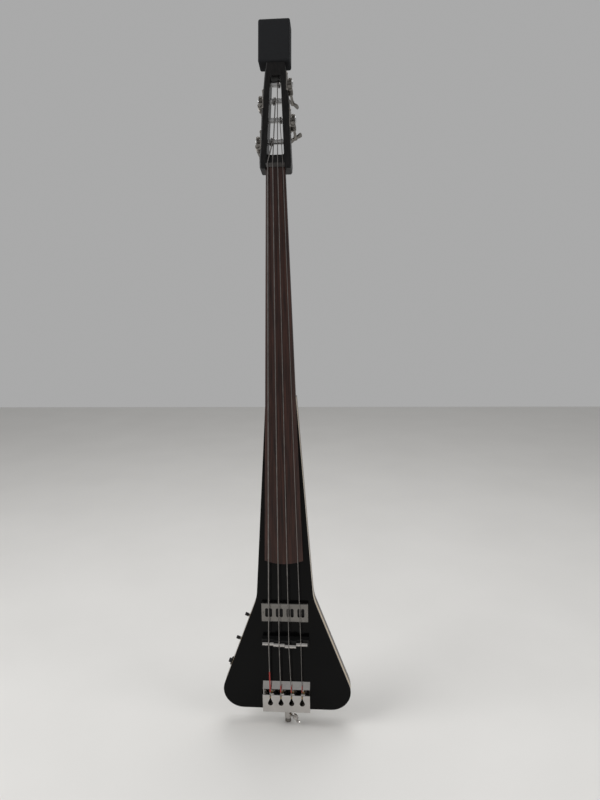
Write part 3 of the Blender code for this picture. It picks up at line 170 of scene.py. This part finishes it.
def grain_group():
    """Wood grain that runs up the instrument."""
    tree = group("grain",
                 [("Dark", "NodeSocketColor", (0.1, 0.1, 0.1, 1)),
                  ("Light", "NodeSocketColor", (0.2, 0.2, 0.2, 1)),
                  ("Smooth", "NodeSocketFloat", 0.3),
                  ("Rough", "NodeSocketFloat", 0.5),
                  ("Density", "NodeSocketFloat", 1.0),
                  ("Depth", "NodeSocketFloat", 0.1)],
                 [("Color", "NodeSocketColor"), ("Roughness", "NodeSocketFloat"),
                  ("Normal", "NodeSocketVector")])
    start = node(tree, "NodeGroupInput", -1100, 0)
    end = node(tree, "NodeGroupOutput", 600, 0)
    place = node(tree, "ShaderNodeTexCoord", -1100, -300)
    stretch = node(tree, "ShaderNodeMapping", -900, -300)
    stretch.inputs["Scale"].default_value = (1.0, 1.0, GRAIN_STRETCH)
    streak = node(tree, "ShaderNodeTexNoise", -650, 200)
    streak.inputs["Scale"].default_value = STREAK_SCALE
    streak.inputs["Detail"].default_value = 6.0
    streak.inputs["Distortion"].default_value = 0.3
    pores = node(tree, "ShaderNodeTexNoise", -650, -200)
    pores.inputs["Scale"].default_value = PORE_SCALE
    pores.inputs["Detail"].default_value = 3.0
    spread = node(tree, "ShaderNodeMapRange", -400, 200)
    spread.inputs["From Min"].default_value = STREAK_RANGE[0]
    spread.inputs["From Max"].default_value = STREAK_RANGE[1]
    weigh = node(tree, "ShaderNodeMath", -200, 300, operation="MULTIPLY")
    tint = node(tree, "ShaderNodeMix", 0, 200, data_type="RGBA")
    sheen = node(tree, "ShaderNodeMix", 0, 0, data_type="FLOAT")
    bump = node(tree, "ShaderNodeBump", 300, -250)
    bump.inputs["Distance"].default_value = GRAIN_BUMP
    link = tree.links.new
    link(place.outputs["Object"], stretch.inputs["Vector"])
    link(stretch.outputs["Vector"], streak.inputs["Vector"])
    link(stretch.outputs["Vector"], pores.inputs["Vector"])
    link(streak.outputs["Fac"], spread.inputs["Value"])
    link(spread.outputs["Result"], weigh.inputs[0])
    link(start.outputs["Density"], weigh.inputs[1])
    link(weigh.outputs["Value"], tint.inputs["Factor"])
    link(start.outputs["Dark"], tint.inputs["A"])
    link(start.outputs["Light"], tint.inputs["B"])
    link(pores.outputs["Fac"], sheen.inputs["Factor"])
    link(start.outputs["Smooth"], sheen.inputs["A"])
    link(start.outputs["Rough"], sheen.inputs["B"])
    link(pores.outputs["Fac"], bump.inputs["Height"])
    link(start.outputs["Depth"], bump.inputs["Strength"])
    link(tint.outputs["Result"], end.inputs["Color"])
    link(sheen.outputs["Result"], end.inputs["Roughness"])
    link(bump.outputs["Normal"], end.inputs["Normal"])
    return tree


MOTTLE = mottle_group()
GRAIN = grain_group()
print("shader groups:", MOTTLE.name, GRAIN.name)

# %% [markdown]
# ## Finishes
# Each finish is a Principled shader fed by one of the groups. The black parts
# differ mostly in how they shine: lacquer is wet, the neck is satin, the head
# block is dull foam and the bridge block is moulded plastic.

# %% finishes
COAT_ROUGHNESS = 0.06
RING_SCALE = 320.0
RING_BUMP = 0.0001
CLOUD_SCALE = 70.0


def finish(name, effect, dark, light, metal=0.0, coat=0.0, gloss=0.5, **numbers):
    """A material fed by one of the groups, with its own colours and numbers."""
    made = bpy.data.materials.new(name)
    made.use_nodes = True
    tree = made.node_tree
    shader = tree.nodes["Principled BSDF"]
    feed = node(tree, "ShaderNodeGroup", -400, 0, node_tree=effect)
    feed.inputs["Dark"].default_value = (*dark, 1)
    feed.inputs["Light"].default_value = (*light, 1)
    for label, value in numbers.items():
        feed.inputs[label].default_value = value
    tree.links.new(feed.outputs["Color"], shader.inputs["Base Color"])
    tree.links.new(feed.outputs["Roughness"], shader.inputs["Roughness"])
    tree.links.new(feed.outputs["Normal"], shader.inputs["Normal"])
    shader.inputs["Metallic"].default_value = metal
    shader.inputs["Coat Weight"].default_value = coat
    shader.inputs["Coat Roughness"].default_value = COAT_ROUGHNESS
    shader.inputs["Specular IOR Level"].default_value = gloss
    return made


LACQUER = finish("black_lacquer", MOTTLE, (0.0015, 0.0016, 0.0017), (0.0032, 0.0031, 0.0030),
                 gloss=0.10, Smooth=0.12, Rough=0.22, Scale=18.0, Grit=500.0, Depth=0.02)
NECK = finish("satin_black", GRAIN, (0.003, 0.003, 0.003), (0.009, 0.008, 0.008), gloss=0.15,
              Smooth=0.28, Rough=0.42, Depth=0.06)
CORE = finish("pale_core", GRAIN, (0.38, 0.28, 0.16), (0.58, 0.47, 0.31), coat=0.3,
              Smooth=0.34, Rough=0.50, Depth=0.05)
BACK = finish("dark_back", GRAIN, (0.012, 0.007, 0.004), (0.048, 0.027, 0.013), coat=0.2,
              Smooth=0.32, Rough=0.46, Depth=0.05)
ROSEWOOD = finish("rosewood", GRAIN, (0.011, 0.005, 0.004), (0.050, 0.019, 0.013), gloss=0.28,
                  Smooth=0.36, Rough=0.54, Depth=0.20)
EBONY = finish("ebony", GRAIN, (0.010, 0.009, 0.008), (0.030, 0.025, 0.022),
               Smooth=0.30, Rough=0.42, Depth=0.08)
FOAM = finish("foam_rubber", MOTTLE, (0.0045, 0.0048, 0.0056), (0.011, 0.0115, 0.013),
              gloss=0.2, Smooth=0.78, Rough=0.92, Scale=240.0, Grit=1300.0, Depth=0.60)
PLASTIC = finish("black_plastic", MOTTLE, (0.003, 0.003, 0.003), (0.008, 0.008, 0.008),
                 gloss=0.22, Smooth=0.36, Rough=0.52, Scale=90.0, Grit=1800.0, Depth=0.12)
CHROME = finish("chrome", MOTTLE, (0.42, 0.40, 0.385), (0.60, 0.58, 0.56), metal=1.0,
                Smooth=0.08, Rough=0.20, Scale=45.0, Grit=700.0, Depth=0.02)
COVER = finish("dull_chrome", MOTTLE, (0.15, 0.142, 0.134), (0.25, 0.24, 0.225), metal=1.0,
               Smooth=0.16, Rough=0.34, Scale=55.0, Grit=900.0, Depth=0.04)
NICKEL = finish("aged_nickel", MOTTLE, (0.10, 0.092, 0.083), (0.34, 0.32, 0.295), metal=1.0,
                Smooth=0.26, Rough=0.52, Scale=130.0, Grit=1400.0, Depth=0.12)
STEEL = finish("steel", MOTTLE, (0.34, 0.34, 0.34), (0.54, 0.54, 0.54), metal=1.0,
               Smooth=0.22, Rough=0.38, Scale=80.0, Grit=1600.0, Depth=0.06)
BRASS = finish("brass", MOTTLE, (0.30, 0.20, 0.09), (0.58, 0.43, 0.20), metal=1.0,
               Smooth=0.28, Rough=0.50, Scale=160.0, Grit=1500.0, Depth=0.10)
COIL = finish("enamelled_wire", MOTTLE, (0.10, 0.030, 0.012), (0.24, 0.080, 0.030),
              Smooth=0.34, Rough=0.52, Scale=200.0, Grit=1900.0, Depth=0.20)
SILK = finish("red_silk", MOTTLE, (0.22, 0.018, 0.014), (0.46, 0.050, 0.038),
              Smooth=0.60, Rough=0.82, Scale=900.0, Grit=2200.0, Depth=0.40)


def string_finish():
    """Flat tape wound round the string: fine rings up its length."""
    made = bpy.data.materials.new("wound_string")
    made.use_nodes = True
    tree = made.node_tree
    shader = tree.nodes["Principled BSDF"]
    place = node(tree, "ShaderNodeTexCoord", -900, 0)
    rings = node(tree, "ShaderNodeTexWave", -600, 150, wave_type="BANDS", bands_direction="Z",
                 wave_profile="SIN")
    rings.inputs["Scale"].default_value = RING_SCALE
    cloud = node(tree, "ShaderNodeTexNoise", -600, -150)
    cloud.inputs["Scale"].default_value = CLOUD_SCALE
    tint = node(tree, "ShaderNodeMix", -250, 100, data_type="RGBA")
    tint.inputs["A"].default_value = (0.12, 0.112, 0.107, 1)
    tint.inputs["B"].default_value = (0.34, 0.32, 0.305, 1)
    bump = node(tree, "ShaderNodeBump", -250, -250)
    bump.inputs["Strength"].default_value = 0.35
    bump.inputs["Distance"].default_value = RING_BUMP
    link = tree.links.new
    link(place.outputs["Object"], rings.inputs["Vector"])
    link(place.outputs["Object"], cloud.inputs["Vector"])
    link(cloud.outputs["Fac"], tint.inputs["Factor"])
    link(tint.outputs["Result"], shader.inputs["Base Color"])
    link(rings.outputs["Fac"], bump.inputs["Height"])
    link(bump.outputs["Normal"], shader.inputs["Normal"])
    shader.inputs["Roughness"].default_value = 0.34
    shader.inputs["Metallic"].default_value = 1.0
    return made


STRING = string_finish()

WEARS = {
    "body_top": LACQUER, "body_core": CORE, "body_back": BACK, "neck": NECK,
    "fingerboard": ROSEWOOD, "nut": EBONY, "head_block": FOAM, "bridge_base": PLASTIC,
    "pickup_cover": COVER, "pickup_bobbin": PLASTIC, "pickup_coil": COIL, "tailpiece": CHROME,
    "endpin_collar": CHROME, "endpin_rod": STEEL, "endpin_tip": NICKEL,
    "endpin_wing_screw": CHROME, "volume_pot": NICKEL, "tone_pot": NICKEL,
    "volume_knob": PLASTIC, "tone_knob": PLASTIC, "output_jack": PLASTIC, "jack_nut": NICKEL,
    "bay_cover": PLASTIC,
}
ENDINGS = {"_tuner_plate": NICKEL, "_tuner_key": NICKEL, "_roller": STEEL, "_gear": NICKEL,
           "_string": STRING, "_ball_end": BRASS, "_saddle": CHROME}
for name, solid in NODES.items():
    wear = WEARS.get(name)
    for ending, material in ENDINGS.items():
        if name.endswith(ending):
            wear = material
    if name.startswith("bay_cover_screw"):
        wear = NICKEL
    solid.data.materials.clear()
    solid.data.materials.append(wear)
print("finished solids:", len(NODES), "finishes:", len(bpy.data.materials))

# %% [markdown]
# ## Fine pieces
# Silk thread wraps the strings just above the tailpiece, and two small domed
# screws hold the pickup cover. They are turned profiles, so each one is a
# closed solid.

# %% fine pieces
MERGE = 0.000001


def turned(profile, steps):
    """Turn (radius, height) pairs about Z, with both ends on the axis."""
    bm = bmesh.new()
    verts = [bm.verts.new((radius, 0, height)) for radius, height in profile]
    for first, second in zip(verts, verts[1:]):
        bm.edges.new((first, second))
    bmesh.ops.spin(bm, geom=bm.verts[:] + bm.edges[:], cent=(0, 0, 0), axis=(0, 0, 1),
                   angle=math.tau, steps=steps, use_merge=True)
    bmesh.ops.remove_doubles(bm, verts=bm.verts, dist=MERGE)
    bmesh.ops.recalc_face_normals(bm, faces=bm.faces)
    return bm


def add_piece(name, bm, material, place, body):
    """The mesh goes to its place, and the object stays at the origin."""
    bm.transform(place)
    mesh = bpy.data.meshes.new(name)
    bm.to_mesh(mesh)
    bm.free()
    mesh.shade_smooth()
    mesh.set_sharp_from_angle(angle=PIECE_SHARP)
    mesh.materials.append(material)
    made = bpy.data.objects.new(name, mesh)
    bpy.context.scene.collection.objects.link(made)
    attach(made, body)
    return made


def silk(name):
    """A ribbed sleeve of thread round one string."""
    lift = GAUGE[name] / 2
    low = Vector((TAIL_X[name], FRONT_Y - TAIL_RISE - lift * CREST_SINK,
                  TAIL_CREST_Z + CREST_LEAVE))
    high = Vector((BRIDGE_X[name], SADDLE_TOP[name] - lift - SEAT, SADDLE_MIDDLE[name]))
    start, end = (low.lerp(high, share) for share in SILK_SHARE[name])
    length = (end - start).length
    ribs = int(length / SILK_PITCH)
    profile = [(0, 0)]
    for rib in range(ribs * 2 + 1):
        swell = SILK_LIFT if rib % 2 else SILK_LIFT * SILK_GROOVE
        profile.append((lift + swell, length * rib / (ribs * 2)))
    profile.append((0, length))
    aim = (end - start).to_track_quat("Z", "Y").to_matrix().to_4x4()
    place = Matrix.Translation(start) @ aim
    add_piece(name + "_silk", turned(profile, SILK_SIDES), SILK, place, "frame")


def domed_screw(name, x, y, z, radius, body):
    """A domed head with a shallow recess in its middle."""
    bm = turned([(0, SCREW_SEAT), (radius, SCREW_SEAT), (radius, radius * 0.20),
                 (radius * 0.72, radius * 0.42), (radius * 0.30, radius * 0.52),
                 (0, radius * 0.54)], SCREW_STEPS)
    top = [face for face in bm.faces if face.calc_center_median().z > radius * 0.50]
    bmesh.ops.inset_region(bm, faces=top, thickness=radius * 0.05)
    bmesh.ops.translate(bm, vec=(0, 0, -radius * 0.22),
                        verts=list({v for f in top for v in f.verts}))
    place = Matrix.Translation((x, y, z)) @ Matrix.Rotation(math.radians(90), 4, "X")
    add_piece(name, bm, NICKEL, place, body)


for name in STRING_NAMES:
    silk(name)
cover_low, cover_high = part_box("pickup_cover")
screw_places = (cover_low[0] + SCREW_INSET, cover_high[0] - SCREW_INSET)
for index, x in enumerate(screw_places):
    domed_screw(f"pickup_screw_{index + 1}", x, cover_low[1], cover_low[2] + SCREW_UP,
                SCREW_RADIUS, "frame")
print("fine pieces:", len(STRING_NAMES) + len(screw_places))

# %% [markdown]
# ## Floor, light and camera
# The camera stands where the photograph was taken from. Its place was worked
# out from the instrument's own straight edges, and it leans over by almost a
# degree.

# %% floor, light and camera
FLOOR_HALF = 4.0
FLOOR_DROP = 0.0005
ROOM_GREY = 0.80
ROOM_LIGHT = 0.50
LIGHTS = (
    # name, place, what it points at, size, watts
    ("window", (-2.0, -1.0, 2.2), (0, 0, 0.9), (1.4, 1.8), 42),
    ("fill", (2.1, -0.9, 1.3), (0, 0, 0.7), (1.2, 1.6), 18),
    ("top", (0.2, 0.6, 2.9), (0, 0, 0.9), (1.6, 1.6), 26),
)
CAMERA_AT = (0.1358, -1.2919, 1.027)
LOOK_LEFT = math.radians(4.2232)
LOOK_DOWN = math.radians(10.3)
LEAN = math.radians(-0.8764)
LENS = 27.05
SENSOR = 36.0


def floor():
    bm = bmesh.new()
    bmesh.ops.create_grid(bm, x_segments=2, y_segments=2, size=FLOOR_HALF)
    mesh = bpy.data.meshes.new("floor")
    bm.to_mesh(mesh)
    bm.free()
    mesh.materials.append(finish("pale_floor", MOTTLE, (0.66, 0.65, 0.63), (0.72, 0.71, 0.69),
                                 Smooth=0.65, Rough=0.80, Scale=3.0, Grit=60.0, Depth=0.02))
    made = bpy.data.objects.new("floor", mesh)
    made.location = (0, 0, -FLOOR_DROP)
    bpy.context.scene.collection.objects.link(made)


def light(name, place, target, size, watts):
    lamp = bpy.data.lights.new(name, "AREA")
    lamp.shape = "RECTANGLE"
    lamp.size, lamp.size_y = size
    lamp.energy = watts
    made = bpy.data.objects.new(name, lamp)
    aim = (Vector(target) - Vector(place)).to_track_quat("-Z", "Y").to_matrix().to_4x4()
    made.matrix_world = Matrix.Translation(place) @ aim
    bpy.context.scene.collection.objects.link(made)


def camera():
    """The photograph's camera, turned left, down and over by its three angles."""
    ahead = Vector((-math.sin(LOOK_LEFT), math.cos(LOOK_LEFT), 0))
    right = Vector((math.cos(LOOK_LEFT), math.sin(LOOK_LEFT), 0))
    up = Vector((0, 0, 1))
    look = ahead * math.cos(LOOK_DOWN) - up * math.sin(LOOK_DOWN)
    top = up * math.cos(LOOK_DOWN) + ahead * math.sin(LOOK_DOWN)
    side = right * math.cos(LEAN) + top * math.sin(LEAN)
    top = top * math.cos(LEAN) - right * math.sin(LEAN)
    data = bpy.data.cameras.new("camera")
    data.lens = LENS
    data.sensor_width = SENSOR
    made = bpy.data.objects.new("camera", data)
    turn = Matrix((side, top, -look)).transposed().to_4x4()
    made.matrix_world = Matrix.Translation(CAMERA_AT) @ turn
    bpy.context.scene.collection.objects.link(made)
    bpy.context.scene.camera = made


floor()
for lamp_values in LIGHTS:
    light(*lamp_values)
camera()
world = bpy.data.worlds.new("room")
world.use_nodes = True
background = world.node_tree.nodes["Background"]
background.inputs["Color"].default_value = (ROOM_GREY, ROOM_GREY, ROOM_GREY, 1)
background.inputs["Strength"].default_value = ROOM_LIGHT
bpy.context.scene.world = world
bpy.context.scene.view_settings.view_transform = "Standard"
print("camera at", CAMERA_AT)
